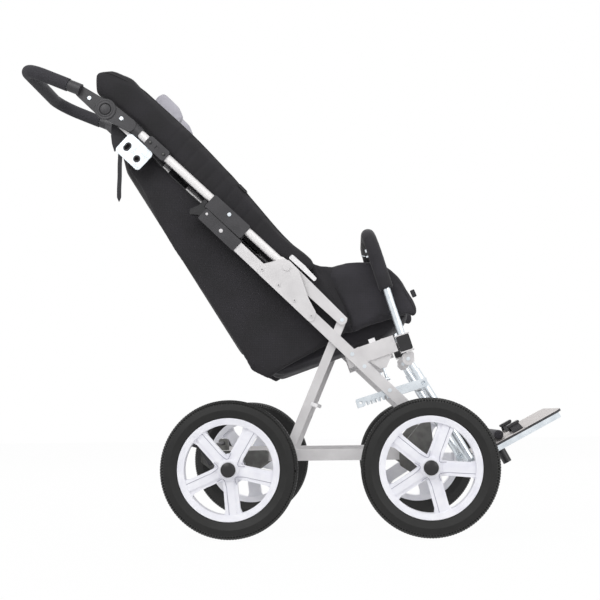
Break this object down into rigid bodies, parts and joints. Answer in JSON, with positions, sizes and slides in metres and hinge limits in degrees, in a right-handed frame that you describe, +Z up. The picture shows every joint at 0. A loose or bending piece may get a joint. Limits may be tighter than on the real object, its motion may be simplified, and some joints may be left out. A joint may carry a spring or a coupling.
{
  "type": "special_needs_stroller",
  "caption": "Folding special needs stroller with a reclined padded seat, guard bar, adjustable leg rest and footplate on spoked wheels",
  "frame": {"origin": "floor level under the middle of the object's length and width", "axes": "+X forward towards the footplate, +Y to the rider's left, +Z up"},
  "size_m": [1.2555, 0.612, 1.1064],
  "materials": {
    "frame_aluminium": "satin",
    "zinc": "bright",
    "dark_plastic": "matte",
    "black_cloth": "woven",
    "grey_cloth": "woven",
    "handle_foam": "foam",
    "rim_plastic": "satin",
    "tyre_rubber": "matte",
    "cap_plastic": "matte"
  },
  "bodies": {
    "chassis": {"side_rails": "frame_aluminium", "front_legs": "frame_aluminium", "rear_legs": "frame_aluminium", "side_plates": "frame_aluminium", "braces": "frame_aluminium", "axle_carriers": "dark_plastic", "axle_stubs": "zinc", "cross_tubes": "frame_aluminium", "seat_bars": "frame_aluminium", "lock_caps": "dark_plastic", "post_clamps": "dark_plastic", "seat_brackets": "zinc", "frame_rivets": "zinc", "seat_cushion": "black_cloth", "seat_wings": "black_cloth", "cloth_guides": "rim_plastic"},
    "back_frame": {"back_tubes": "frame_aluminium", "lock_sleeves": "dark_plastic", "tube_connectors": "dark_plastic", "tie_plates": "zinc", "hinge_knuckles": "dark_plastic", "back_rivets": "zinc", "back_cushion": "black_cloth", "side_bolsters": "black_cloth", "head_pads": "grey_cloth", "hanging_straps": "black_cloth", "side_walls": "black_cloth"},
    "handle": {"handle_arms": "dark_plastic", "handle_tube": "zinc", "handle_grip": "handle_foam", "handle_rivets": "zinc"},
    "button_right": {"hinge_button_right": "dark_plastic"},
    "button_left": {"hinge_button_left": "dark_plastic"},
    "lever_right": {"lock_lever_right": "dark_plastic"},
    "lever_left": {"lock_lever_left": "dark_plastic"},
    "guard": {"guard_bar": "zinc", "guard_pad": "black_cloth"},
    "leg_rest": {"leg_hanger": "zinc"},
    "racks": {"adjust_racks": "frame_aluminium"},
    "stems": {"foot_stems": "zinc"},
    "foot": {"foot_frame": "zinc", "footplate": "dark_plastic", "heel_roll": "black_cloth", "foot_bumpers": "handle_foam", "foot_straps": "black_cloth"},
    "screw_right": {"t_screw_right": "zinc"},
    "screw_left": {"t_screw_left": "zinc"},
    "brake": {"brake_pedal": "dark_plastic"},
    "wheel_rear_right": {"rear_right_rim": "rim_plastic", "rear_right_tyre": "tyre_rubber", "rear_right_hub_cap": "cap_plastic"},
    "wheel_rear_left": {"rear_left_rim": "rim_plastic", "rear_left_tyre": "tyre_rubber", "rear_left_hub_cap": "cap_plastic"},
    "wheel_front_right": {"front_right_rim": "rim_plastic", "front_right_tyre": "tyre_rubber", "front_right_hub_cap": "cap_plastic"},
    "wheel_front_left": {"front_left_rim": "rim_plastic", "front_left_tyre": "tyre_rubber", "front_left_hub_cap": "cap_plastic"}
  },
  "joints": [
    {"name": "fold", "type": "hinge", "parent": "chassis", "child": "back_frame", "pos_m": [0.0068, 0, 0.602], "axis": [0, 1, 0], "range_deg": [0, 78], "deforming": ["side_walls"]},
    {"name": "handle_tilt", "type": "hinge", "parent": "back_frame", "child": "handle", "pos_m": [-0.4116, 0, 0.97965], "axis": [0, 1, 0], "range_deg": [-60, 60]},
    {"name": "button_right_press", "type": "slide", "parent": "back_frame", "child": "button_right", "axis": [0, 1, 0], "range_m": [0, 0.003], "stiffness_N_per_m": 300, "springref_m": -0.002},
    {"name": "button_left_press", "type": "slide", "parent": "back_frame", "child": "button_left", "axis": [0, -1, 0], "range_m": [0, 0.003], "stiffness_N_per_m": 300, "springref_m": -0.002},
    {"name": "lever_right_lift", "type": "hinge", "parent": "chassis", "child": "lever_right", "pos_m": [-0.17578, -0.172, 0.72847], "axis": [0, -1, 0], "range_deg": [0, 20], "stiffness_Nm_per_rad": 0.4, "springref_deg": -11.46},
    {"name": "lever_left_lift", "type": "hinge", "parent": "chassis", "child": "lever_left", "pos_m": [-0.17578, 0.172, 0.72847], "axis": [0, -1, 0], "range_deg": [0, 20], "stiffness_Nm_per_rad": 0.4, "springref_deg": -11.46},
    {"name": "guard_lift", "type": "slide", "parent": "chassis", "child": "guard", "axis": [-0.2924, 0, 0.9563], "range_m": [0, 0.03]},
    {"name": "leg_rest_swing", "type": "hinge", "parent": "chassis", "child": "leg_rest", "pos_m": [0.2798, 0, 0.39], "axis": [0, -1, 0], "range_deg": [-10, 40]},
    {"name": "rack_swing", "type": "hinge", "parent": "leg_rest", "child": "racks", "pos_m": [0.31247, 0, 0.33497], "axis": [0, -1, 0], "range_deg": [-28, 7]},
    {"name": "stem_slide", "type": "slide", "parent": "leg_rest", "child": "stems", "axis": [0.5105, 0, -0.8599], "range_m": [-0.03, 0.05]},
    {"name": "footplate_flip", "type": "hinge", "parent": "stems", "child": "foot", "pos_m": [0.42071, 0, 0.15268], "axis": [0, -1, 0], "range_deg": [0, 80]},
    {"name": "screw_right_turn", "type": "hinge", "parent": "chassis", "child": "screw_right", "pos_m": [0.21791, -0.152, 0.38818], "axis": [0.2756, 0, -0.9613], "continuous": true},
    {"name": "screw_left_turn", "type": "hinge", "parent": "chassis", "child": "screw_left", "pos_m": [0.21791, 0.152, 0.38818], "axis": [0.2756, 0, -0.9613], "continuous": true},
    {"name": "brake_press", "type": "hinge", "parent": "chassis", "child": "brake", "pos_m": [-0.1802, 0, 0.1965], "axis": [0, -1, 0], "range_deg": [0, 25]},
    {"name": "rear_right_spin", "type": "hinge", "parent": "chassis", "child": "wheel_rear_right", "pos_m": [-0.1182, -0.278, 0.15], "axis": [0, 1, 0], "continuous": true},
    {"name": "rear_left_spin", "type": "hinge", "parent": "chassis", "child": "wheel_rear_left", "pos_m": [-0.1182, 0.278, 0.15], "axis": [0, 1, 0], "continuous": true},
    {"name": "front_right_spin", "type": "hinge", "parent": "chassis", "child": "wheel_front_right", "pos_m": [0.3168, -0.278, 0.15], "axis": [0, 1, 0], "continuous": true},
    {"name": "front_left_spin", "type": "hinge", "parent": "chassis", "child": "wheel_front_left", "pos_m": [0.3168, 0.278, 0.15], "axis": [0, 1, 0], "continuous": true}
  ],
  "couplings": [
    {"joint": "rack_swing", "follows": "leg_rest_swing", "ratio": -0.68}
  ]
}
